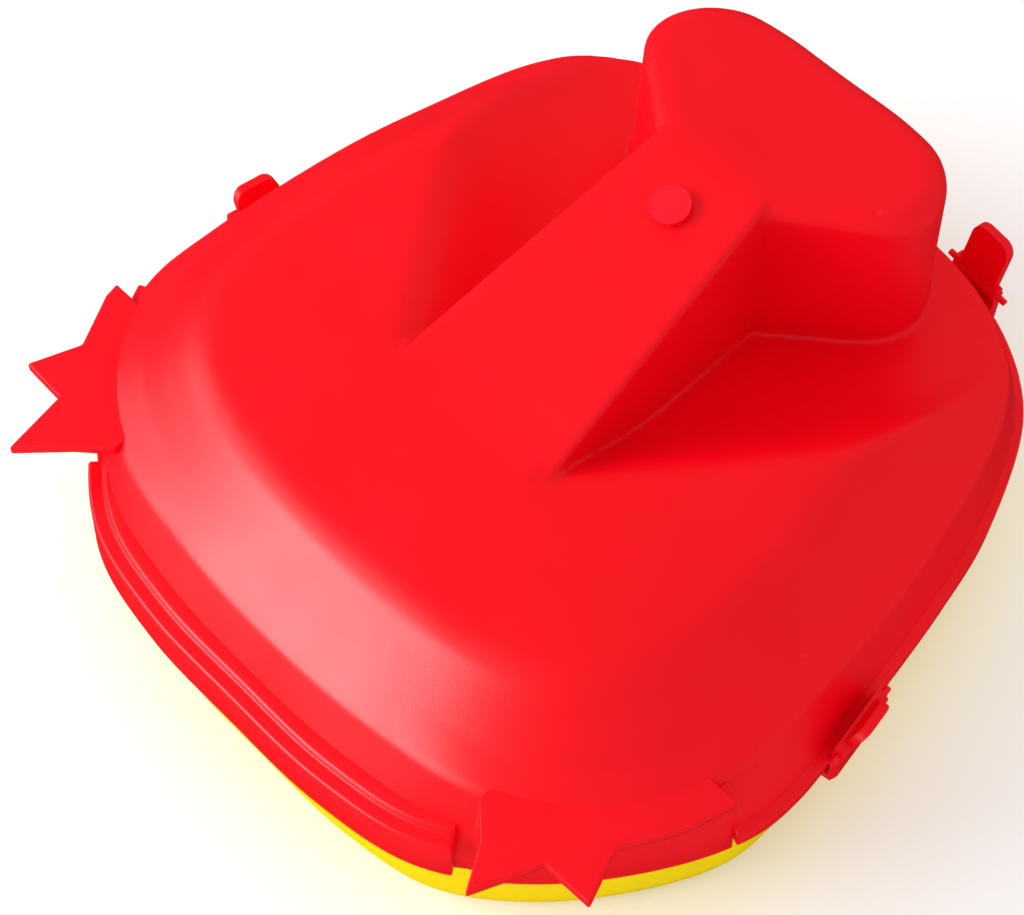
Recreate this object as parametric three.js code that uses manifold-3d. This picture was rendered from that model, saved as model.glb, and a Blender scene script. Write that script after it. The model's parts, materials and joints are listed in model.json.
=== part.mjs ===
// Low-profile bench sharps container, in millimetres, +Z up.
// X runs left to right, Y from the front rim to the hood, Z up from the bench.
// A red moulded cover with a raised hood snaps onto a shallow yellow tray.
import * as THREE from 'three';
import { ConvexGeometry } from 'three/addons/geometries/ConvexGeometry.js';
import { mergeVertices } from 'three/addons/utils/BufferGeometryUtils.js';
import Module from 'manifold-3d';

const wasm = await Module();
wasm.setup();

// ---------------------------------------------------------------- heights
const TRAY_FLOOR = 2.2;
const LUG_BOTTOM = 17.3;
const TRAY_TOP = 19.5;
const RIM_BOTTOM = 20;
const SPIGOT_TOP = 23;
const SIDE_FLANGE_TOP = 23.4;
const FRONT_LIP_TOP = 28.9;
const FRONT_LEDGE_TOP = 29.9;
const STAR_BOTTOM = 35;
const STAR_TOP = 37.2;
const SHOULDER = 35.9;          // crease between the wall and the bevel
const DECK = 48.7;              // top of the bevel
const CROWN = 52.2;             // highest part of the deck, where the ridge starts
const RIDGE_END = 67.2;         // top of the ridge where it meets the hood
const HOOD_BACK = 63.4;         // top of the hood at its back edge
const PIT_FLOOR = 34.4;
const WALL_FOOT = 26.4;         // how far down the ridge and hood walls are carried

// ---------------------------------------------------------------- general sizes
const WALL = 2.2;
const GAP = 0.3;
const PIN_CLEARANCE = 0.05;
const BEVEL_RUN = 13.8;
const SKIRT_THICKNESS = 3.6;
const RING_STEPS = 72;
const PIN_SIDES = 20;
const LENGTH_CENTRE = 16.94;    // middle of the length along Y, moved to the origin

// ---------------------------------------------------------------- plan outlines
// Half outlines run from the front centre round the right side to the back centre.
const SHOULDER_HALF = [
  [0, -49.2], [24, -47.7], [42.9, -43.6], [57.5, -33], [64.8, -19], [65.6, -4],
  [63.4, 24], [60.2, 40], [54, 61.6], [46, 73], [32, 81.2], [0, 84.3],
];
const RIM_HALF = [
  [0, -58.6], [20, -58.1], [38, -54.2], [52.5, -43.5], [65, -27], [70.8, -14], [71.6, -4],
  [69.5, 11], [65.5, 36.4], [61.5, 53], [51, 74.7], [36, 85.8], [18, 89.6], [0, 90.2],
];

function closedOutline(half) {
  const right = half.map(([x, y]) => new THREE.Vector3(x, y, 0));
  const left = half.slice(1, -1).reverse().map(([x, y]) => new THREE.Vector3(-x, y, 0));
  const curve = new THREE.CatmullRomCurve3([...right, ...left], true, 'centripetal');
  const points = curve.getSpacedPoints(RING_STEPS).slice(0, -1);
  return points.map((p) => new THREE.Vector2(p.x, p.y));
}

function inset(outline, distance) {
  const count = outline.length;
  return outline.map((point, i) => {
    const before = outline[(i + count - 1) % count];
    const after = outline[(i + 1) % count];
    const along = after.clone().sub(before).normalize();
    return new THREE.Vector2(point.x - along.y * distance, point.y + along.x * distance);
  });
}

const shoulder = closedOutline(SHOULDER_HALF);
const rim = closedOutline(RIM_HALF);

// ---------------------------------------------------------------- solids
const ringAt = (outline, z) => outline.map((p) => new THREE.Vector3(p.x, p.y, z));

// Closed solid through a stack of rings with the same number of points.
function loft(rings) {
  const count = rings[0].length;
  const vertices = rings.flat();
  const index = [];
  for (let level = 0; level + 1 < rings.length; level += 1) {
    for (let i = 0; i < count; i += 1) {
      const a = level * count + i;
      const b = level * count + ((i + 1) % count);
      index.push(a, b, b + count, a, b + count, a + count);
    }
  }
  const cap = THREE.ShapeUtils.triangulateShape(rings[0].map((p) => new THREE.Vector2(p.x, p.y)), []);
  const top = (rings.length - 1) * count;
  for (const [a, b, c] of cap) {
    index.push(a, c, b);
    index.push(top + a, top + b, top + c);
  }
  const geometry = new THREE.BufferGeometry();
  const positions = vertices.flatMap((p) => [p.x, p.y, p.z]);
  geometry.setAttribute('position', new THREE.Float32BufferAttribute(positions, 3));
  geometry.setIndex(index);
  return geometry;
}

const slab = (outline, z0, z1) => loft([ringAt(outline, z0), ringAt(outline, z1)]);

const vectors = (pairs) => pairs.map(([x, y]) => new THREE.Vector2(x, y));

function box(x0, x1, y0, y1, z0, z1) {
  const geometry = new THREE.BoxGeometry(x1 - x0, y1 - y0, z1 - z0);
  return geometry.translate((x0 + x1) / 2, (y0 + y1) / 2, (z0 + z1) / 2);
}

// Round bar whose axis lies along X, centred on x = 0.
function barX(radius, length, y, z) {
  const geometry = new THREE.CylinderGeometry(radius, radius, length, PIN_SIDES);
  return geometry.rotateZ(Math.PI / 2).translate(0, y, z);
}

// Round bar whose axis lies along Y, centred on y = 0.
function barY(radius, length, x, z) {
  return new THREE.CylinderGeometry(radius, radius, length, PIN_SIDES).translate(x, 0, z);
}

// Outline in the XZ plane given a width along Y, centred on y = 0.
function profileY(points, width) {
  const shape = new THREE.Shape(vectors(points));
  const geometry = new THREE.ExtrudeGeometry(shape, { depth: width, bevelEnabled: false });
  return geometry.translate(0, 0, -width / 2).rotateX(Math.PI / 2);
}

// Bottom points with the same outline carried straight up to a height.
function columnAbove(points, top) {
  const corners = points.flatMap(([x, y, z]) => [new THREE.Vector3(x, y, z), new THREE.Vector3(x, y, top)]);
  return new ConvexGeometry(corners);
}

function toManifold(geometry) {
  const bare = geometry.clone();
  bare.deleteAttribute('normal');
  bare.deleteAttribute('uv');
  const merged = mergeVertices(bare, 1e-5);
  const vertProperties = new Float32Array(merged.attributes.position.array);
  const triVerts = new Uint32Array(merged.index.array);
  return new wasm.Manifold(new wasm.Mesh({ numProp: 3, vertProperties, triVerts }));
}

function toGeometry(manifold) {
  const mesh = manifold.getMesh();
  const geometry = new THREE.BufferGeometry();
  geometry.setAttribute('position', new THREE.Float32BufferAttribute(mesh.vertProperties, 3));
  geometry.setIndex(Array.from(mesh.triVerts));
  geometry.computeVertexNormals();
  return geometry;
}

const union = (geometries) => geometries.map(toManifold).reduce((sum, next) => sum.add(next));
const mirrored = (points) => points.map(([x, ...rest]) => [-x, ...rest]);

// ---------------------------------------------------------------- cover outside
const RIDGE_FRONT_Y = -4;
const RIDGE_BACK_Y = 48;
const RIDGE_FRONT_HALF = 16.8;
const RIDGE_BACK_HALF = 11.4;
const DRAFT = 1.4;              // extra half width of the ridge and hood at their foot
const RIDGE_SLOPE = (RIDGE_END - CROWN) / (RIDGE_BACK_Y - RIDGE_FRONT_Y);
const ridgeTopAt = (y) => CROWN + RIDGE_SLOPE * (y - RIDGE_FRONT_Y);

const HOOD_HALF_PLAN = [
  [11.4, 46.5], [26, 58.8], [28.9, 62.6], [29.3, 68], [26, 75], [21, 79], [14, 80.3],
];
const HOOD_FRONT_Y = 46.5;
const HOOD_BACK_Y = 80.3;
const HOOD_SLOPE = (HOOD_BACK - RIDGE_END) / (HOOD_BACK_Y - HOOD_FRONT_Y);
const HOOD_EDGE = { drop: 3, run: 2.4 };
const hoodTopAt = (y) => RIDGE_END + HOOD_SLOPE * (y - HOOD_FRONT_Y);

function ridge(shrink) {
  const tuckedY = RIDGE_BACK_Y + 6;
  const top = [
    [RIDGE_FRONT_HALF, RIDGE_FRONT_Y, CROWN],
    [RIDGE_BACK_HALF, RIDGE_BACK_Y, RIDGE_END],
    [RIDGE_BACK_HALF - 1, tuckedY, hoodTopAt(tuckedY) - 0.2],
  ];
  const corners = [];
  for (const [half, y, z] of [...top, ...mirrored(top)]) {
    const side = Math.sign(half);
    corners.push(new THREE.Vector3(half - side * shrink, y, z - shrink));
    corners.push(new THREE.Vector3(half + side * (DRAFT - shrink), y, WALL_FOOT));
  }
  return new ConvexGeometry(corners);
}

function hood(shrink) {
  const plan = [...vectors(HOOD_HALF_PLAN), ...vectors(mirrored(HOOD_HALF_PLAN)).reverse()];
  const raised = (distance, lower) => inset(plan, distance).map((p) => {
    return new THREE.Vector3(p.x, p.y, hoodTopAt(p.y) - shrink - lower);
  });
  return loft([
    ringAt(inset(plan, shrink - DRAFT), WALL_FOOT),
    raised(shrink, HOOD_EDGE.drop),
    raised(shrink + HOOD_EDGE.run, 0),
  ]);
}

// Sunk pit beside the ridge, deepest at the foot of the hood.
const PIT_POINTS = [
  [17.2, -4.5, 52.4], [44.6, 34, 49], [48.6, 62, 39], [42, 76, 37], [30, 90, 36.4],
  [24, 22, 42], [12.4, 47, PIT_FLOOR], [27.6, 61, PIT_FLOOR], [36, 52, 36.4], [0, 90, PIT_FLOOR],
];

// A wall thickness above zero gives the larger block that the pit's own walls fill.
function pit(side, wall) {
  const inward = 3 * wall;
  const moved = PIT_POINTS.map(([x, y, z]) => [side * (x - inward), y, z - wall]);
  const sunk = PIT_POINTS.map(([x, y, z]) => [side * x, y, z - wall]);
  return toManifold(columnAbove([...moved, ...sunk], CROWN + 30));
}

function bodyStack(shrink) {
  const wallFoot = inset(rim, 1.4 + shrink);
  return loft([
    ringAt(wallFoot, RIM_BOTTOM - shrink),
    ringAt(wallFoot, SIDE_FLANGE_TOP - shrink * 0.5),
    ringAt(inset(shoulder, shrink), SHOULDER - shrink * 0.4),
    ringAt(inset(shoulder, BEVEL_RUN + shrink * 0.7), DECK - shrink),
    ringAt(inset(shoulder, BEVEL_RUN + 16 + shrink), CROWN - shrink - 1.2),
  ]);
}

// ---------------------------------------------------------------- star corner plates
const STAR_TIP = { left: [54.2, -56.6], right: [51.4, -56] };
const STAR_EDGE = [[56.3, -44.7], [65.1, -44.4], [61.8, -35.5], [66.8, -26.4]];
const STAR_FRONT = [[42.2, -44.6], [47.2, -49]];
const STAR_END = { left: [67.4, -23.6], right: [69.4, -17.6] };
const STAR_ROOT = [40, -30];    // hidden inside the body

function starPlate(side) {
  const [endX, endY] = STAR_END[side];
  const outline = [...STAR_FRONT, STAR_TIP[side], ...STAR_EDGE, [endX, endY], [58, endY], STAR_ROOT];
  if (side === 'left') {
    return slab(vectors(mirrored(outline)).reverse(), STAR_BOTTOM, STAR_TOP);
  }
  return slab(vectors(outline), STAR_BOTTOM, STAR_TOP);
}

// ---------------------------------------------------------------- latches
// In a latch's own frame +X points out of the rim, Y runs along it and x = 0 is the rim.
const LATCHES = [
  { name: 'left', x: -69.7, y: 9.7, turn: 171, half: 6.4, tabHalf: 4.3, top: 29.6 },
  { name: 'right', x: 69.7, y: 9.7, turn: 9, half: 6.4, tabHalf: 4.3, top: 29.6 },
  { name: 'back_left', x: -28, y: 88.3, turn: 98, half: 5.2, tabHalf: 4.2, top: 35.6 },
  { name: 'back_right', x: 28, y: 88.3, turn: 82, half: 5.2, tabHalf: 4.2, top: 35.6 },
];
const LATCH = {
  inner: 0.3, outer: 1.9, toe: 0.9, bottom: 15.4, heel: 18.4, shoulder: 26.6,
  hookTip: -1.7, hookTop: 17, lean: 2, tabRadius: 2.4,
};
const PIVOT = { x: 1.1, z: 24.9 };
const PIVOT_RADIUS = 1.2;
const LATCH_PIN_RADIUS = 0.6;
const EAR = { width: 1.8, reach: 2.3, root: -2.6, top: 26.3 };
const LUG = { margin: 0.8, root: -3.4, tip: -0.9 };

function placeOnRim(geometry, latch) {
  return geometry.rotateZ(THREE.MathUtils.degToRad(latch.turn)).translate(latch.x, latch.y, 0);
}

function latchEars(latch) {
  const half = latch.half + GAP;
  return [half, -half - EAR.width].map((y) => {
    return placeOnRim(box(EAR.root, EAR.reach, y, y + EAR.width, RIM_BOTTOM, EAR.top), latch);
  });
}

// Finger tab with round upper corners, sheared so that its top leans outwards.
function latchTab(latch) {
  const { tabHalf: half, top } = latch;
  const foot = LATCH.shoulder - 1;
  const radius = LATCH.tabRadius;
  const shape = new THREE.Shape();
  shape.moveTo(-half, foot);
  shape.lineTo(half, foot);
  shape.absarc(half - radius, top - radius, radius, 0, Math.PI / 2);
  shape.absarc(radius - half, top - radius, radius, Math.PI / 2, Math.PI);
  const depth = LATCH.outer - LATCH.inner;
  const geometry = new THREE.ExtrudeGeometry(shape, { depth, bevelEnabled: false, curveSegments: 6 });
  const upright = new THREE.Matrix4().makeBasis(
    new THREE.Vector3(0, 1, 0), new THREE.Vector3(0, 0, 1), new THREE.Vector3(1, 0, 0),
  );
  const slope = LATCH.lean / (top - foot);
  const shear = new THREE.Matrix4().set(1, 0, slope, -slope * foot, 0, 1, 0, 0, 0, 0, 1, 0, 0, 0, 0, 1);
  return geometry.applyMatrix4(upright).applyMatrix4(shear).translate(LATCH.inner, 0, 0);
}

function latchBody(latch) {
  const plate = profileY([
    [LATCH.hookTip, LATCH.bottom], [LATCH.toe, LATCH.bottom], [LATCH.outer, LATCH.heel],
    [LATCH.outer, LATCH.shoulder], [LATCH.inner, LATCH.shoulder], [LATCH.inner, LATCH.hookTop],
    [LATCH.hookTip, LATCH.hookTop],
  ], 2 * latch.half);
  const barrel = barY(PIVOT_RADIUS, 2 * latch.half, PIVOT.x, PIVOT.z);
  const bore = barY(LATCH_PIN_RADIUS + PIN_CLEARANCE, 20, PIVOT.x, PIVOT.z);
  const solid = union([plate, latchTab(latch), barrel]).subtract(toManifold(bore));
  return placeOnRim(toGeometry(solid), latch);
}

function latchPin(latch) {
  const length = 2 * (latch.half + GAP + EAR.width) - 0.6;
  return placeOnRim(barY(LATCH_PIN_RADIUS, length, PIVOT.x, PIVOT.z), latch);
}

// ---------------------------------------------------------------- inlet in the back of the hood
const MOUTH = { half: 18, bottom: 42.5, top: 56.4 };
const LID = {
  y: 78.5, z: 54.6, pin: 0.8, barrel: 1.6, half: 17.6, bottom: 42.9, front: 78.1, back: 79.9,
};
const FLAP = {
  y: 73.6, z: 57.2, pin: 1, barrel: 1.9, half: 19.5, bottom: 41, front: 72.8, back: 74.4,
};
const EAR_THICKNESS = 2.2;
const PULL = { half: 6, depth: 1.6, height: 1.4 };

// Inner reach of the two ears that carry a hinge pin, and how far the pin goes in.
const earInner = (hinge) => hinge.half + GAP;
const pinHalf = (hinge) => earInner(hinge) + EAR_THICKNESS - 0.3;

function hingeEars(hinge, frontY, backY) {
  const inner = earInner(hinge);
  return [inner, -inner - EAR_THICKNESS].map((x) => {
    return box(x, x + EAR_THICKNESS, frontY, backY, hinge.z - 2, HOOD_BACK);
  });
}

function hingedPlate(hinge) {
  const board = box(-hinge.half, hinge.half, hinge.front, hinge.back, hinge.bottom, hinge.z);
  const barrel = barX(hinge.barrel, 2 * hinge.half, hinge.y, hinge.z);
  const bore = barX(hinge.pin + PIN_CLEARANCE, 60, hinge.y, hinge.z);
  return union([board, barrel]).subtract(toManifold(bore));
}

function lid() {
  const edge = [LID.back - 0.2, LID.back + PULL.depth, LID.bottom, LID.bottom + PULL.height];
  return toGeometry(hingedPlate(LID).add(toManifold(box(-PULL.half, PULL.half, ...edge))));
}

const hingePin = (hinge) => barX(hinge.pin, 2 * pinHalf(hinge), hinge.y, hinge.z);

// ---------------------------------------------------------------- baffle held by a rivet
const RIVET = { y: 38.2, head: 3.4, headHeight: 1.3, shank: 1.5, length: 7 };
const BAFFLE = { half: 9, thickness: 2, bottom: 32, boss: 3, bossDepth: 4.6 };
const rivetTop = ridgeTopAt(RIVET.y);

// Moves something built upright at the origin onto the sloping ridge roof.
function placeOnRidge(geometry) {
  return geometry.rotateX(Math.atan(RIDGE_SLOPE)).translate(0, RIVET.y, rivetTop);
}

function uprightRod(radius, z0, z1) {
  const geometry = new THREE.CylinderGeometry(radius, radius, z1 - z0, 28);
  return geometry.rotateX(Math.PI / 2).translate(0, 0, (z0 + z1) / 2);
}

function rivet() {
  const shank = uprightRod(RIVET.shank, -RIVET.length, 0.5);
  const head = uprightRod(RIVET.head, GAP / 6, RIVET.headHeight);
  return placeOnRidge(toGeometry(union([shank, head])));
}

function baffle() {
  const boss = placeOnRidge(uprightRod(BAFFLE.boss, -WALL - GAP - BAFFLE.bossDepth, -WALL - GAP));
  const { half, thickness, bottom } = BAFFLE;
  const front = RIVET.y - thickness / 2;
  const board = box(-half, half, front, front + thickness, bottom, rivetTop - WALL - 3);
  const bore = placeOnRidge(uprightRod(RIVET.shank + PIN_CLEARANCE, -RIVET.length - 0.3, 1));
  return toGeometry(union([boss, board]).subtract(toManifold(bore)));
}

// ---------------------------------------------------------------- cover shell
const SEAL = { outer: 2.3, inner: 3.8, bottom: 19.6, top: 21.2 };

const LIP_END_X = 43.5;
const CORNER_BACK_Y = { left: -23.5, right: -17.5 };

// Below each star plate the rim steps in; these blocks bound those two corners.
function cornerZones() {
  const right = box(LIP_END_X, 90, -80, CORNER_BACK_Y.right, 0, 60);
  return union([right, box(-90, -LIP_END_X, -80, CORNER_BACK_Y.left, 0, 60)]);
}

function coverRim() {
  const frontZone = toManifold(box(-LIP_END_X, LIP_END_X, -80, -20, 0, 60));
  const lip = loft([ringAt(rim, RIM_BOTTOM), ringAt(inset(rim, 0.6), FRONT_LIP_TOP)]);
  const ledge = slab(inset(rim, 3.4), RIM_BOTTOM, FRONT_LEDGE_TOP);
  const front = union([lip, ledge]).intersect(frontZone);
  const post = toManifold(slab(inset(rim, 1.6), RIM_BOTTOM, STAR_BOTTOM + 0.5));
  const flange = toManifold(slab(rim, RIM_BOTTOM, SIDE_FLANGE_TOP));
  const sides = flange.subtract(cornerZones()).subtract(frontZone);
  return front.add(post.intersect(cornerZones())).add(sides);
}

function coverHollow() {
  let hollow = toManifold(bodyStack(WALL));
  for (const side of [-1, 1]) {
    hollow = hollow.subtract(pit(side, WALL));
  }
  return hollow.add(union([ridge(WALL), hood(WALL)]));
}

function coverBores() {
  const bores = [LID, FLAP].map((hinge) => {
    return barX(hinge.pin + PIN_CLEARANCE, 2 * pinHalf(hinge) + 0.2, hinge.y, hinge.z);
  });
  bores.push(placeOnRidge(uprightRod(RIVET.shank + PIN_CLEARANCE, -8, 2)));
  for (const latch of LATCHES) {
    bores.push(placeOnRim(barY(LATCH_PIN_RADIUS + PIN_CLEARANCE, 24, PIVOT.x, PIVOT.z), latch));
  }
  return union(bores);
}

function coverShell() {
  let shell = toManifold(bodyStack(0)).add(coverRim());
  for (const side of [-1, 1]) {
    shell = shell.subtract(pit(side, 0));
  }
  const latchMounts = LATCHES.flatMap(latchEars);
  const raised = [ridge(0), hood(0), starPlate('left'), starPlate('right'), ...latchMounts];
  shell = shell.add(union(raised)).subtract(coverHollow());

  const ears = union([...hingeEars(LID, 76.2, 80), ...hingeEars(FLAP, 71.6, 75.6)]);
  shell = shell.add(ears.intersect(toManifold(hood(0.5))));
  const mouth = box(-MOUTH.half, MOUTH.half, 76, 90, MOUTH.bottom, MOUTH.top);
  const sealRebate = slab(inset(rim, SEAL.outer - 0.1), 0, SEAL.top + 0.1);
  shell = shell.subtract(union([mouth, sealRebate]));
  return toGeometry(shell.subtract(coverBores()));
}

// ---------------------------------------------------------------- tray
const SPIGOT = { outer: SKIRT_THICKNESS + 0.5, inner: SKIRT_THICKNESS + 2 };

function tray() {
  const outside = loft([
    ringAt(inset(rim, 6.2), 0),
    ringAt(inset(rim, 4.2), 1.6),
    ringAt(inset(rim, 3.4), 5),
    ringAt(inset(rim, 2.1), TRAY_TOP),
  ]);
  const spigot = slab(inset(rim, SPIGOT.outer), LUG_BOTTOM, SPIGOT_TOP);
  const lugs = LATCHES.map((latch) => {
    const half = latch.half - LUG.margin;
    return placeOnRim(box(LUG.root, LUG.tip, -half, half, LUG_BOTTOM, TRAY_TOP), latch);
  });
  const inside = loft([
    ringAt(inset(rim, 7.8), TRAY_FLOOR),
    ringAt(inset(rim, SPIGOT.inner), 5),
    ringAt(inset(rim, SPIGOT.inner), SPIGOT_TOP + 1),
  ]);
  return toGeometry(union([outside, spigot, ...lugs]).subtract(toManifold(inside)));
}

function seal() {
  const outer = toManifold(slab(inset(rim, SEAL.outer), SEAL.bottom, SEAL.top));
  const inner = toManifold(slab(inset(rim, SEAL.inner), 0, 40));
  return toGeometry(outer.subtract(inner));
}

// ---------------------------------------------------------------- assembly
const RED = 0xe0000f;
const YELLOW = 0xf7c400;
const STEEL = 0xb9bcc0;
const part = new THREE.Group();
part.name = 'sharps_container';

function addPiece(name, geometry, color, roughness, metalness = 0) {
  const material = new THREE.MeshStandardMaterial({ color, roughness, metalness });
  const mesh = new THREE.Mesh(geometry, material);
  mesh.name = name;
  mesh.position.y = -LENGTH_CENTRE;
  part.add(mesh);
}

addPiece('cover_shell', coverShell(), RED, 0.4);
addPiece('base_tray', tray(), YELLOW, 0.42);
addPiece('perimeter_seal', seal(), 0x2a2a2c, 0.8);
addPiece('inlet_lid', lid(), RED, 0.4);
addPiece('inlet_lid_pin', hingePin(LID), STEEL, 0.3, 1);
addPiece('anti_return_flap', toGeometry(hingedPlate(FLAP)), YELLOW, 0.45);
addPiece('anti_return_flap_pin', hingePin(FLAP), STEEL, 0.3, 1);
addPiece('chute_baffle', baffle(), YELLOW, 0.45);
addPiece('baffle_rivet', rivet(), RED, 0.4);
for (const latch of LATCHES) {
  addPiece(`latch_${latch.name}`, latchBody(latch), RED, 0.4);
  addPiece(`latch_${latch.name}_pin`, latchPin(latch), RED, 0.4);
}

export default part;
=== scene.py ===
"""Looks of a low bench sharps container: red moulded cover with a raised hood on a yellow tray."""
import json
import math

import bmesh
import bpy
import numpy as np
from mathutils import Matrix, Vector


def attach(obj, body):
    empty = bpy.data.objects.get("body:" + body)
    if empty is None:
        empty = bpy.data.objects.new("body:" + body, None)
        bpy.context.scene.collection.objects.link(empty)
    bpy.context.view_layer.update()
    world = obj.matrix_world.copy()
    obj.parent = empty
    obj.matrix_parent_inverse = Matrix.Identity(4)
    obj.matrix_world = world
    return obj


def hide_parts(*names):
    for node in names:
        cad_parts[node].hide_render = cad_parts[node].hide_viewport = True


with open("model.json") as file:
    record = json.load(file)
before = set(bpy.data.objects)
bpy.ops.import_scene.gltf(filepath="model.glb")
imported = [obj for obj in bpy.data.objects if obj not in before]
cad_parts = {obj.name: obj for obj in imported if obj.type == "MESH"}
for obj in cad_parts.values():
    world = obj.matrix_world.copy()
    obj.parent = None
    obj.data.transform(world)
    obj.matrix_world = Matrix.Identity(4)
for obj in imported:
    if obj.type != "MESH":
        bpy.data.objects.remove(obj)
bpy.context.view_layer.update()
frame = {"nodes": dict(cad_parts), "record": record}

MM = 0.001
LENGTH_CENTRE = 16.94           # y of the middle of the whole length, in the frame of the outlines

# ---------------------------------------------------------------- heights, in millimetres
TRAY_TOP = 19.5
RIM_BOTTOM = 20.0
SIDE_FLANGE_TOP = 23.4
FRONT_LIP_TOP = 28.9
FRONT_LEDGE_TOP = 29.9
STAR_BOTTOM = 35.0
STAR_TOP = 37.2
SHOULDER = 35.9
DECK = 48.7
CROWN = 52.2
RIDGE_END = 67.2
HOOD_BACK = 63.4
PIT_FLOOR = 34.4
WALL = 2.2
HIDDEN_FOOT = 24.0              # where ridge and hood start, out of sight under the dome

# ---------------------------------------------------------------- plan outlines
SHOULDER_HALF = [
    (0, -49.2), (24, -47.7), (42.9, -43.6), (57.5, -33), (64.8, -19), (65.6, -4),
    (63.4, 24), (60.2, 40), (54, 61.6), (46, 73), (32, 81.2), (0, 84.3),
]
RIM_HALF = [
    (0, -58.6), (20, -58.1), (38, -54.2), (52.5, -43.5), (65, -27), (70.8, -14), (71.6, -4),
    (69.5, 11), (65.5, 36.4), (61.5, 53), (51, 74.7), (36, 85.8), (18, 89.6), (0, 90.2),
]
HOOD_HALF = [
    (9, 44.4), (13, 47.9), (19.5, 53.4), (25.4, 58.3), (28.6, 62.6), (29.2, 68), (26.8, 74),
    (21.5, 78.6), (14, 80.2), (0, 80.3),
]
OUTLINE_POINTS = 280
HOOD_POINTS = 90
SPAN_STEPS = 40                 # straight steps between two control points before resampling


def spline(points, closed, count):
    """Centripetal Catmull-Rom curve through the points, sampled at equal arc lengths."""
    points = [np.array(p, float) for p in points]
    if closed:
        padded = [points[-1]] + points + points[:2]
    else:
        padded = [2 * points[0] - points[1]] + points + [2 * points[-1] - points[-2]]
    dense = []
    for p0, p1, p2, p3 in zip(padded, padded[1:], padded[2:], padded[3:]):
        a, b, c = [math.sqrt(np.linalg.norm(q - p)) for p, q in ((p0, p1), (p1, p2), (p2, p3))]
        start = ((p1 - p0) / a - (p2 - p0) / (a + b) + (p2 - p1) / b) * b
        end = ((p2 - p1) / b - (p3 - p1) / (b + c) + (p3 - p2) / c) * b
        for t in np.arange(0, 1, 1 / SPAN_STEPS):
            h = (2 * t**3 - 3 * t**2 + 1, t**3 - 2 * t**2 + t, 3 * t**2 - 2 * t**3, t**3 - t**2)
            dense.append(h[0] * p1 + h[1] * start + h[2] * p2 + h[3] * end)
    dense.append(dense[0] if closed else points[-1])
    dense = np.array(dense)
    length = np.r_[0, np.cumsum(np.linalg.norm(np.diff(dense, axis=0), axis=1))]
    at = np.linspace(0, length[-1], count + 1 if closed else count)
    out = np.stack([np.interp(at, length, dense[:, k]) for k in (0, 1)], 1)
    return out[:-1] if closed else out


def mirrored_outline(half):
    """Closed outline from its right half, which starts and ends on the middle line."""
    left = [(-x, y) for x, y in reversed(half[1:-1])]
    return spline(half + left, True, OUTLINE_POINTS)


def inset(outline, distance):
    """The closed anticlockwise outline moved inwards by a distance."""
    along = np.roll(outline, -1, 0) - np.roll(outline, 1, 0)
    along /= np.linalg.norm(along, axis=1)[:, None]
    return outline + distance * np.stack([-along[:, 1], along[:, 0]], 1)


def softened(outline, reach):
    """The outline with its bends spread over a number of neighbouring points."""
    spread = [np.roll(outline, k, 0) for k in range(-reach, reach + 1)]
    return np.mean(spread, 0)


shoulder = mirrored_outline(SHOULDER_HALF)
rim = mirrored_outline(RIM_HALF)
bevel_guide = softened(softened(shoulder, 9), 9)


# ---------------------------------------------------------------- mesh helpers
def row(points):
    """Points in millimetres in the frame of the outlines, as metres in the row frame."""
    points = np.asarray(points, float)
    return (points - [0, LENGTH_CENTRE, 0]) * MM


def make(name, points, faces, body):
    """New mesh object; one that rides on no body is a tool for the booleans below."""
    mesh = bpy.data.meshes.new(name)
    mesh.from_pydata([tuple(p) for p in row(points)], [], faces)
    bm = bmesh.new()
    bm.from_mesh(mesh)
    bmesh.ops.remove_doubles(bm, verts=bm.verts, dist=1e-7)
    bmesh.ops.recalc_face_normals(bm, faces=bm.faces)
    bm.to_mesh(mesh)
    bm.free()
    obj = bpy.data.objects.new(name, mesh)
    bpy.context.scene.collection.objects.link(obj)
    if body:
        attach(obj, body)
    return obj


def ring(outline, z):
    """The outline at one height, or at a height of its own for each point."""
    return np.column_stack([outline, np.broadcast_to(z, len(outline))])


def loft(name, rings, body="container"):
    """Closed solid through a stack of rings with the same number of points."""
    count = len(rings[0])
    last = (len(rings) - 1) * count
    faces = []
    for first in range(0, last, count):
        for j in range(count):
            k = (j + 1) % count
            faces.append((first + j, first + k, first + count + k, first + count + j))
    faces.append(tuple(range(count))[::-1])
    faces.append(tuple(range(last, last + count)))
    return make(name, np.vstack(rings), faces, body)


def strip(name, indices, section):
    """Sweeps a closed (inset, height) section along part of the rim."""
    insets = [inset(rim, distance)[indices] for distance, _ in section]
    heights = [z for _, z in section]
    return loft(name, [[(*p, z) for p, z in zip(points, heights)] for points in zip(*insets)])


def modified(obj, kind, **settings):
    """Adds a modifier of that kind with these settings."""
    modifier = obj.modifiers.new(kind.title(), kind)
    for key, value in settings.items():
        setattr(modifier, key, value)


def bevelled(obj, width, segments, angle):
    """Rounds the edges sharper than an angle in degrees, over a width in millimetres."""
    limit = math.radians(angle)
    modified(obj, "BEVEL", width=width * MM, segments=segments, limit_method="ANGLE", angle_limit=limit)


def baked(obj):
    """Replaces the object's mesh with what its modifiers make of it."""
    graph = bpy.context.evaluated_depsgraph_get()
    mesh = bpy.data.meshes.new_from_object(obj.evaluated_get(graph))
    obj.modifiers.clear()
    obj.data = mesh


def combine(obj, others, operation):
    """Adds the other solids to the object or cuts them out of it, and removes them."""
    group = bpy.data.collections.new("operands")
    bpy.context.scene.collection.children.link(group)
    for other in others:
        group.objects.link(other)
    operands = {"operand_type": "COLLECTION", "collection": group}
    modified(obj, "BOOLEAN", operation=operation, solver="EXACT", **operands)
    baked(obj)
    for other in others:
        bpy.data.objects.remove(other)
    bpy.data.collections.remove(group)


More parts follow.
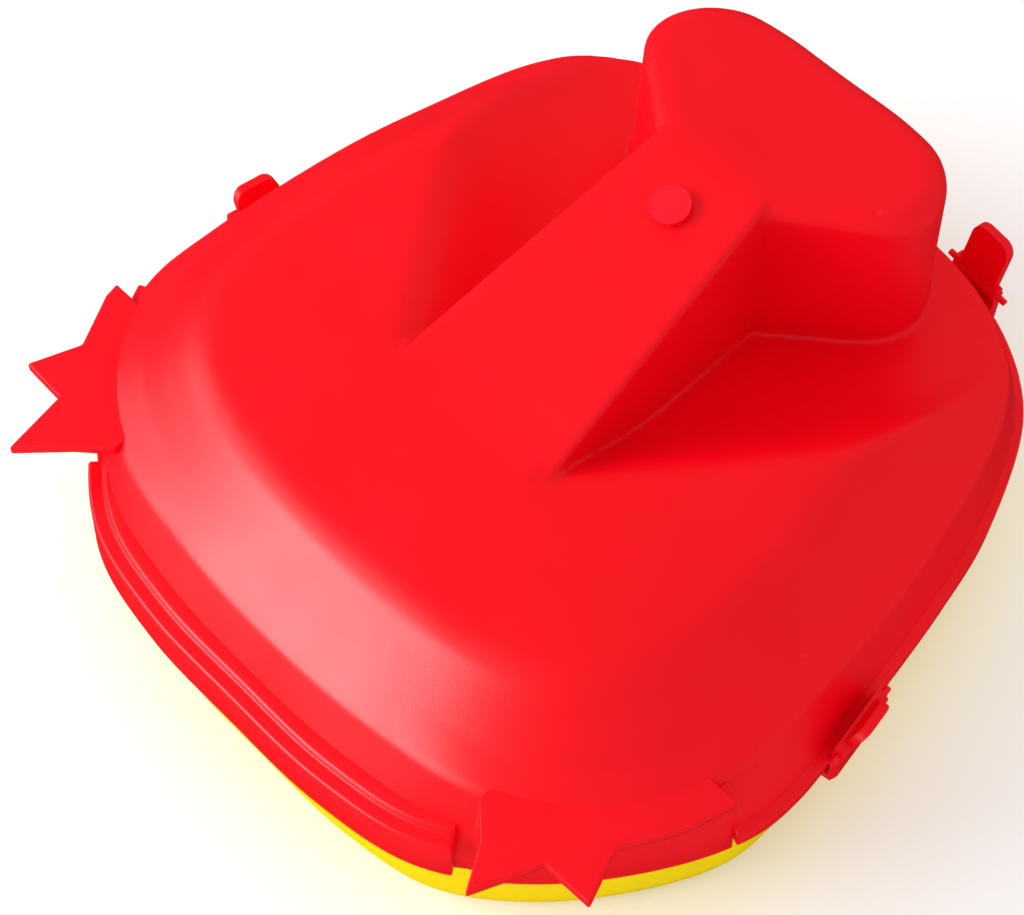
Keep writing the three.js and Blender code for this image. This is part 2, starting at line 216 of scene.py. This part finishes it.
def smooth_faces(obj):
    obj.data.polygons.foreach_set("use_smooth", [True] * len(obj.data.polygons))


# ---------------------------------------------------------------- cover dome
def smin(a, b, k):
    """Smaller of two heights, with the fold between them rounded over about k."""
    h = np.clip(0.5 + 0.5 * (b - a) / k, 0, 1)
    return b + (a - b) * h - k * h * (1 - h)


def smax(a, b, k):
    """Larger of two heights, rounded in the same way."""
    return -smin(-a, -b, k)


def depth_inside(points, outline):
    """Distance of each point from a closed outline."""
    edges = np.roll(outline, -1, 0) - outline
    best = np.full(len(points), np.inf)
    for start, edge in zip(outline, edges):
        along = np.clip(((points - start) @ edge) / (edge @ edge), 0, 1)
        best = np.minimum(best, np.linalg.norm(points - start - along[:, None] * edge, axis=1))
    return best


RIDGE_FRONT = (16.8, -4.0)      # half width of the ridge, and the y it is measured at
RIDGE_BACK = (11.4, 48.0)
RIDGE_LENGTH = RIDGE_BACK[1] - RIDGE_FRONT[1]
RIDGE_SLOPE = (RIDGE_END - CROWN) / RIDGE_LENGTH
RIDGE_TAPER = (RIDGE_FRONT[0] - RIDGE_BACK[0]) / RIDGE_LENGTH
RIDGE_CORNER = 1.1              # radius of the long top edges of the ridge
HOOD_FRONT_Y, HOOD_BACK_Y = 46.5, 80.3
HOOD_SLOPE = (HOOD_BACK - RIDGE_END) / (HOOD_BACK_Y - HOOD_FRONT_Y)
HOOD_EDGE = 3.6                 # radius of the top edge of the hood
FOOT_FLARE = 1.4                # ridge and hood are this much wider on each side at the foot

BEVEL_RUN = 13.8                # width of the sloping band behind the shoulder
CROWN_SPREAD = 14               # how gently the deck rises from that band to its crown
FOLD_FRONT = np.array([17.2, -4.5])
FOLD_BACK = np.array([44.6, 34.0])
FOLD_DROP = 3.4                 # the fold line round each pit falls this far from front to back
FOLD_SLOPE = 0.875              # and the pit wall falls this much per mm inwards from it
PIT_FRONT = {"height": 42, "x": 24, "y": 22, "slope_x": 0.196, "slope_y": -0.213}
PIT_SIDE = {"height": 49, "x": 44.6, "y": 34, "slope_x": 0.552, "slope_y": -0.436}
RIM_INSET = 1.4                 # the wall of the dome goes down this far inside the rim outline
PIT_BACK_Y = 47                 # behind this line the pits run round the hood, not beside the ridge

# How widely the folds between surfaces are rounded.
ROUND = {
    "roof": 1.6, "ridge": 2.4, "bevel": 2.6, "pit": 3.0,
    "pit_floor": 2.0, "pit_slopes": 2.5, "pit_fold": 4.0,
}


def ridge_half(y):
    return RIDGE_FRONT[0] - RIDGE_TAPER * (y - RIDGE_FRONT[1])


def ridge_top(y):
    return CROWN + RIDGE_SLOPE * (y - RIDGE_FRONT[1])


def roof(y):
    """Height of the ridge and hood along the middle: up the ridge, then gently down to the back."""
    return smin(ridge_top(y), RIDGE_END + HOOD_SLOPE * (y - HOOD_FRONT_Y), ROUND["roof"])


def tilted(plane, x, y):
    """Height of a flat slope through a known point."""
    return plane["height"] + plane["slope_x"] * (x - plane["x"]) + plane["slope_y"] * (y - plane["y"])


def pit_surface(x, y):
    """Floor of the sunk pits: slopes that fall from the fold line and from the front to the hood's foot."""
    run = np.linalg.norm(FOLD_BACK - FOLD_FRONT)
    along = (FOLD_BACK - FOLD_FRONT) / run
    s = (x - FOLD_FRONT[0]) * along[0] + (y - FOLD_FRONT[1]) * along[1]
    inside = (y - FOLD_FRONT[1]) * along[0] - (x - FOLD_FRONT[0]) * along[1]
    from_fold = CROWN + 0.2 - FOLD_DROP * s / run - FOLD_SLOPE * inside
    slopes = smax(from_fold, tilted(PIT_SIDE, x, y), ROUND["pit_fold"])
    floor = smax(np.full_like(x, PIT_FLOOR), tilted(PIT_FRONT, x, y), ROUND["pit_floor"])
    floor = smax(floor, slopes, ROUND["pit_slopes"])
    # Inside the flank of the ridge the floor climbs steeply, so that no gap opens under the ridge.
    under_ridge = PIT_FLOOR + 20 * (ridge_half(y) - 1 - x)
    return np.where(y < PIT_BACK_Y, np.maximum(floor, under_ridge), floor)


def dome_height(points, sunk=0.0):
    """Height of the cover's top: bevel, crowned deck and pits."""
    x, y = np.abs(points[:, 0]), points[:, 1]

    # Between 1 and 6 mm from the edge the depth passes over to that from the softened guide,
    # so the corners of the shoulder leave no creases in the bevel.
    edge = depth_inside(points, shoulder)
    guided = np.where(edge > 1, depth_inside(points, bevel_guide), edge)
    depth = edge + (guided - edge) * np.clip(edge / 5 - 0.2, 0, 1)

    bevel = SHOULDER + (DECK - SHOULDER) * depth / BEVEL_RUN
    crown = 1 - np.exp(-np.maximum(depth - BEVEL_RUN, 0) / CROWN_SPREAD)
    deck = DECK + 0.4 + (CROWN - DECK - 0.6) * crown
    top = smin(bevel, deck, ROUND["bevel"])

    # Under the ridge the deck rises to meet it; this fades out sideways and before the front bevel.
    share = np.clip((ridge_half(y) + 2 - x) / 5, 0, 1) * np.clip((y + 26) / 8, 0, 1)
    eased = share**2 * (3 - 2 * share)
    top += (smax(top, ridge_top(y), ROUND["ridge"]) - top) * eased
    return smin(top, pit_surface(x, y), ROUND["pit"]) - sunk


def dome():
    """Shell of wall, bevel, deck and pits, open below."""
    centre = np.array([0, 18.0])
    shares = np.linspace(0.02, 1, 60) ** 0.9
    inner_shoulder = inset(shoulder, WALL)
    inner_wall = inset(rim, RIM_INSET + WALL)
    outer = [centre + t * (shoulder - centre) for t in shares]
    inner = [centre + t * (inner_shoulder - centre) for t in shares]
    rings = [ring(p, dome_height(p)) for p in outer]
    rings.append(ring(inset(rim, RIM_INSET), SIDE_FLANGE_TOP))
    rings.append(ring(inset(rim, RIM_INSET), RIM_BOTTOM))
    rings.append(ring(inset(rim, WALL), RIM_BOTTOM))
    rings.append(ring(inset(rim, WALL), RIM_BOTTOM + 1.3))
    rings.append(ring(inner_wall, RIM_BOTTOM + 1.3))
    rings.append(ring(inner_wall, SIDE_FLANGE_TOP - 1))
    rings += [ring(p, dome_height(p, WALL * 1.3)) for p in reversed(inner)]
    return loft("cover_dome", rings)


def ridge(shrink):
    """Sloping ridge with rounded shoulders, lofted along Y; shrink gives its hollow."""
    arc = [math.radians(a) for a in (0, 30, 60, 90)]
    rings = []
    for y in np.linspace(-14, 60, 38):
        half = ridge_half(y) - shrink
        top = roof(y) + 0.04 - 0.02 * max(y - 52, 0) - shrink
        side_x = [half - RIDGE_CORNER + RIDGE_CORNER * math.cos(a) for a in arc]
        side_z = [top - RIDGE_CORNER + RIDGE_CORNER * math.sin(a) for a in arc]
        half_section = [(half + FOOT_FLARE, HIDDEN_FOOT), *zip(side_x, side_z)]
        section = half_section + [(-x, z) for x, z in reversed(half_section)]
        rings.append([(x, y, z) for x, z in section])
    return loft("ridge", rings, None)


def hood(shrink):
    """T-shaped hood with a rounded top edge; shrink gives its hollow."""
    right = spline(HOOD_HALF, False, HOOD_POINTS)
    left = right[:-1][::-1] * [-1, 1]
    plan = np.vstack([right, left])
    rings = [ring(inset(plan, shrink - FOOT_FLARE), HIDDEN_FOOT)]
    for angle in np.radians([0, 15, 30, 45, 60, 75, 90]):
        outline = inset(plan, shrink + HOOD_EDGE * (1 - math.cos(angle)))
        rings.append(ring(outline, roof(outline[:, 1]) - shrink - HOOD_EDGE * (1 - math.sin(angle))))
    return loft("hood", rings, None)


def block(x0, x1, y0, y1, z0, z1):
    """Box between two corners, used as a boolean tool."""
    corners = [(x, y, z) for z in (z0, z1) for x, y in ((x0, y0), (x1, y0), (x1, y1), (x0, y1))]
    faces = [(3, 2, 1, 0), (4, 5, 6, 7), (0, 1, 5, 4), (1, 2, 6, 5), (2, 3, 7, 6), (3, 0, 4, 7)]
    return make("block", np.array(corners, float), faces, None)


VOXEL = 0.5                     # grain of the remesh that joins ridge, hood and dome in one skin

cover = dome()
combine(cover, [ridge(0), hood(0)], "UNION")
mouth = block(-18, 18, 76, 90, 42.5, 56.4)      # the opening at the back, closed by the lid
combine(cover, [ridge(WALL), hood(WALL), mouth], "DIFFERENCE")
modified(cover, "REMESH", mode="VOXEL", voxel_size=VOXEL * MM, use_smooth_shade=True)
modified(cover, "SMOOTH", factor=0.5, iterations=7)
baked(cover)
smooth_faces(cover)
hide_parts("cover_shell")

# ---------------------------------------------------------------- rim, lips and corner plates
LIP_END_X = {"left": 49, "right": 44.5}
CORNER_BACK_Y = {"left": -23.5, "right": -17.5}
POST_OVERLAP = 2.4              # the corner posts reach this far back over the side flange


def rim_indices(test):
    """Neighbouring outline points for which the test holds, in order along the rim."""
    chosen = [i for i, p in enumerate(rim) if test(p)]
    gap = next((k for k in range(1, len(chosen)) if chosen[k] - chosen[k - 1] > 1), 0)
    return chosen[gap:] + chosen[:gap]


front_points = rim_indices(lambda p: -LIP_END_X["left"] < p[0] < LIP_END_X["right"] and p[1] < 0)
right_corner = rim_indices(
    lambda p: p[0] > LIP_END_X["right"] + 0.3 and p[1] < CORNER_BACK_Y["right"] + POST_OVERLAP
)
left_corner = rim_indices(
    lambda p: p[0] < -LIP_END_X["left"] and p[1] < CORNER_BACK_Y["left"] + POST_OVERLAP
)
side_points = rim_indices(lambda p: p[1] > CORNER_BACK_Y["right" if p[0] > 0 else "left"])

FRONT_LIP = [
    (0.0, RIM_BOTTOM), (0.5, FRONT_LIP_TOP - 0.6), (0.7, FRONT_LIP_TOP - 0.1), (1.1, FRONT_LIP_TOP),
    (3.0, FRONT_LIP_TOP - 0.1), (3.4, FRONT_LEDGE_TOP - 0.2), (3.8, FRONT_LEDGE_TOP),
    (5.4, FRONT_LEDGE_TOP), (6.8, FRONT_LEDGE_TOP + 0.1), (6.4, 26), (3.4, RIM_BOTTOM),
]
SIDE_FLANGE = [
    (0.0, RIM_BOTTOM), (0.0, SIDE_FLANGE_TOP - 0.7), (0.2, SIDE_FLANGE_TOP - 0.2), (0.7, SIDE_FLANGE_TOP),
    (1.3, SIDE_FLANGE_TOP + 0.2), (2.0, SIDE_FLANGE_TOP + 1), (2.6, SIDE_FLANGE_TOP + 2.6),
    (3.2, 24), (2.1, RIM_BOTTOM),
]
CORNER_POST = [
    (0.9, RIM_BOTTOM - 2.6), (1.3, RIM_BOTTOM + 3), (2.4, STAR_BOTTOM + 0.5), (6.4, STAR_BOTTOM + 0.5),
    (4.4, RIM_BOTTOM + 2), (1.9, RIM_BOTTOM), (1.8, RIM_BOTTOM - 2.6),
]

lip = strip("front_lip", front_points, FRONT_LIP)
flange = strip("side_flange", side_points, SIDE_FLANGE)
posts = [strip("right_post", right_corner, CORNER_POST), strip("left_post", left_corner, CORNER_POST)]

STAR_FRONT = [(42.2, -44.6), (47.2, -49)]
STAR_TIP = {"left": (54.2, -56.6), "right": (51.4, -56)}
STAR_EDGE = [(56.3, -44.7), (65.1, -44.4), (61.8, -35.5), (66.8, -26.4)]
STAR_END = {"left": (67.4, -23.6), "right": (69.4, -17.6)}


def star_plate(side):
    """Flat plate with cut-out points that covers one front corner."""
    end_x, end_y = STAR_END[side]
    outline = [*STAR_FRONT, STAR_TIP[side], *STAR_EDGE, (end_x, end_y), (58, end_y), (42, -34)]
    if side == "left":
        outline = [(-x, y) for x, y in reversed(outline)]
    plate = loft(f"{side}_star", [ring(outline, z) for z in (STAR_BOTTOM, STAR_TOP)])
    bevelled(plate, 0.45, 3, 25)
    return plate


stars = [star_plate("left"), star_plate("right")]
for piece in [lip, flange, *posts]:
    bevelled(piece, 0.3, 2, 50)
for piece in [lip, flange, *posts, *stars]:
    smooth_faces(piece)

# ---------------------------------------------------------------- tray
TRAY_OUTSIDE = [
    (6.4, 0.0), (5.2, 0.35), (4.5, 1.0), (4.1, 2.0), (3.8, 3.4), (3.5, 6.0), (2.5, 16.5),
    (2.1, TRAY_TOP - 0.3), (2.4, TRAY_TOP), (4.1, TRAY_TOP),
]
TRAY_SPIGOT = [(4.1, 22.7), (4.4, 23.0), (5.3, 23.0), (5.6, 22.7)]      # stands up inside the cover
TRAY_INSIDE = [(5.6, 5.0), (6.4, 2.9), (7.8, 2.2)]
tray_profile = TRAY_OUTSIDE + TRAY_SPIGOT + TRAY_INSIDE
tray = loft("tray", [ring(inset(rim, distance), z) for distance, z in tray_profile])
smooth_faces(tray)
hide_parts("base_tray")


# ---------------------------------------------------------------- materials
WEAR_STOPS = [(0.57, (0, 0, 0)), (0.68, (1, 1, 1))]     # only the sharpest edges are rubbed paler


def noise(tree, scale, detail):
    """Grey cloud that is fixed to the object itself."""
    coords = tree.nodes.get("Texture Coordinate") or tree.nodes.new("ShaderNodeTexCoord")
    node = tree.nodes.new("ShaderNodeTexNoise")
    node.inputs["Scale"].default_value = scale
    node.inputs["Detail"].default_value = detail
    tree.links.new(coords.outputs["Object"], node.inputs["Vector"])
    return node.outputs["Fac"]


def ramp(tree, source, stops):
    """Colours between two stops, chosen by a grey value."""
    node = tree.nodes.new("ShaderNodeValToRGB")
    for element, (place, colour) in zip(node.color_ramp.elements, stops):
        element.position = place
        element.color = (*colour, 1)
    tree.links.new(source, node.inputs["Fac"])
    return node.outputs["Color"]


def mapped(tree, source, low, high):
    """A grey value from 0 to 1, spread between low and high."""
    node = tree.nodes.new("ShaderNodeMapRange")
    node.inputs["To Min"].default_value = low
    node.inputs["To Max"].default_value = high
    tree.links.new(source, node.inputs["Value"])
    return node.outputs["Result"]


def bump(tree, source, strength, depth):
    """Relief with a depth in millimetres; returns its node, so that reliefs can be stacked."""
    node = tree.nodes.new("ShaderNodeBump")
    node.inputs["Strength"].default_value = strength
    node.inputs["Distance"].default_value = depth * MM
    tree.links.new(source, node.inputs["Height"])
    return node


def moulded(name, colour, dark, light, gloss, grain):
    """Moulded plastic: slow shifts of colour, fine grain, rubbed edges and uneven gloss."""
    material = bpy.data.materials.new(name)
    material.use_nodes = True
    tree = material.node_tree
    shader = tree.nodes["Principled BSDF"]
    shader.inputs["IOR"].default_value = 1.5
    shader.inputs["Specular IOR Level"].default_value = gloss

    base = ramp(tree, noise(tree, 28, 3), [(0.3, dark), (0.7, colour)])
    geometry = tree.nodes.new("ShaderNodeNewGeometry")
    worn = ramp(tree, geometry.outputs["Pointiness"], WEAR_STOPS)
    mix = tree.nodes.new("ShaderNodeMix")
    mix.data_type = "RGBA"
    tree.links.new(worn, mix.inputs["Factor"])
    tree.links.new(base, mix.inputs["A"])
    mix.inputs["B"].default_value = (*light, 1)
    tree.links.new(mix.outputs["Result"], shader.inputs["Base Color"])
    tree.links.new(mapped(tree, noise(tree, 60, 4), 0.3, 0.42), shader.inputs["Roughness"])

    fine = bump(tree, noise(tree, 2600, 2), 0.22, grain)
    broad = bump(tree, noise(tree, 90, 2), 0.25, 0.25)
    tree.links.new(fine.outputs["Normal"], broad.inputs["Normal"])
    tree.links.new(broad.outputs["Normal"], shader.inputs["Normal"])
    return material


def simple(name, colour, roughness, metallic, scale):
    """Small hidden parts: drawn wire and rubber, with streaked colour and roughness."""
    material = bpy.data.materials.new(name)
    material.use_nodes = True
    tree = material.node_tree
    shader = tree.nodes["Principled BSDF"]
    shader.inputs["Metallic"].default_value = metallic
    streaks = noise(tree, scale, 2)
    dark = [c * 0.8 for c in colour]
    tint = ramp(tree, streaks, [(0, dark), (1, colour)])
    rough = mapped(tree, streaks, roughness - 0.08, roughness + 0.08)
    tree.links.new(tint, shader.inputs["Base Color"])
    tree.links.new(rough, shader.inputs["Roughness"])
    return material


red = moulded("red_plastic", (0.9, 0.0, 0.009), (0.84, 0.0, 0.006), (0.95, 0.01, 0.03), 0.17, 0.06)
yellow = moulded("yellow_plastic", (1.0, 0.76, 0.0), (0.97, 0.72, 0.0), (1.0, 0.8, 0.0), 0.1, 0.05)
steel = simple("steel_wire", (0.6, 0.61, 0.63), 0.3, 1.0, 900)
rubber = simple("seal_rubber", (0.04, 0.04, 0.042), 0.75, 0.0, 500)
LOOKS = {"red_moulding": red, "yellow_moulding": yellow, "steel_pin": steel, "seal_rubber": rubber}


def dress(obj, slot):
    """Gives the object the look of a material slot and nothing else."""
    obj.data.materials.clear()
    obj.data.materials.append(LOOKS[slot])


for piece in [cover, lip, flange, *posts, *stars]:
    dress(piece, "red_moulding")
dress(tray, "yellow_moulding")

# The pieces that are used as modelled get the look of their slot and, except the pins, softer edges.
node_slots = {s["node"]: s["material_slot"] for s in frame["record"]["subparts"]}
for name, node in frame["nodes"].items():
    if name in ("cover_shell", "base_tray"):
        continue
    node.data.materials.clear()
    node.data.materials.append(LOOKS[node_slots[name]])
    if not name.endswith("_pin"):
        bevelled(node, 0.28, 3, 35)
    smooth_faces(node)

# ---------------------------------------------------------------- floor, light and camera
bpy.ops.mesh.primitive_plane_add(size=6)
floor = bpy.context.object
floor.name = "floor"
pale = bpy.data.materials.new("pale_floor")
pale.use_nodes = True
surface = pale.node_tree.nodes["Principled BSDF"]
surface.inputs["Base Color"].default_value = (0.98, 0.98, 0.98, 1)
surface.inputs["Roughness"].default_value = 0.9
floor.data.materials.append(pale)

world = bpy.data.worlds.new("studio")
bpy.context.scene.world = world
world.use_nodes = True
sky = world.node_tree.nodes["Background"]
sky.inputs["Color"].default_value = (1, 1, 1, 1)
sky.inputs["Strength"].default_value = 0.92

# The white room and floor light the plastic but are not mirrored in it, which would wash it out.
floor.visible_glossy = False
world.cycles_visibility.glossy = False

target = Vector(row([3.5, 0, STAR_TOP]))


def softbox(name, offset, size, power):
    """Rectangular lamp of a size in metres that faces the target from an offset."""
    light = bpy.data.lights.new(name, "AREA")
    light.shape = "RECTANGLE"
    light.size, light.size_y = size
    light.energy = power
    lamp = bpy.data.objects.new(name, light)
    bpy.context.scene.collection.objects.link(lamp)
    lamp.location = target + Vector(offset)
    lamp.rotation_euler = (-Vector(offset)).to_track_quat("-Z", "Y").to_euler()
    return lamp


softbox("key", (-0.62, -0.6, 0.34), (0.8, 0.45), 7)
sheen = softbox("sheen", (-0.3, -0.85, 0.38), (0.5, 0.4), 17)
sheen.visible_diffuse = False           # this one gives highlights only

bpy.context.scene.view_settings.view_transform = "Standard"

CAMERA_AZIMUTH, CAMERA_ELEVATION = math.radians(45.8), math.radians(58.3)
CAMERA_DISTANCE = 372.8

camera = bpy.data.cameras.new("camera")
camera.sensor_width = 36
camera.lens = 81.9
camera_object = bpy.data.objects.new("camera", camera)
bpy.context.scene.collection.objects.link(camera_object)
level = math.cos(CAMERA_ELEVATION)
back = Vector((
    math.sin(CAMERA_AZIMUTH) * level,
    -math.cos(CAMERA_AZIMUTH) * level,
    math.sin(CAMERA_ELEVATION),
))
camera_object.location = target + CAMERA_DISTANCE * MM * back
camera_object.rotation_euler = back.to_track_quat("Z", "Y").to_euler()
bpy.context.scene.camera = camera_object
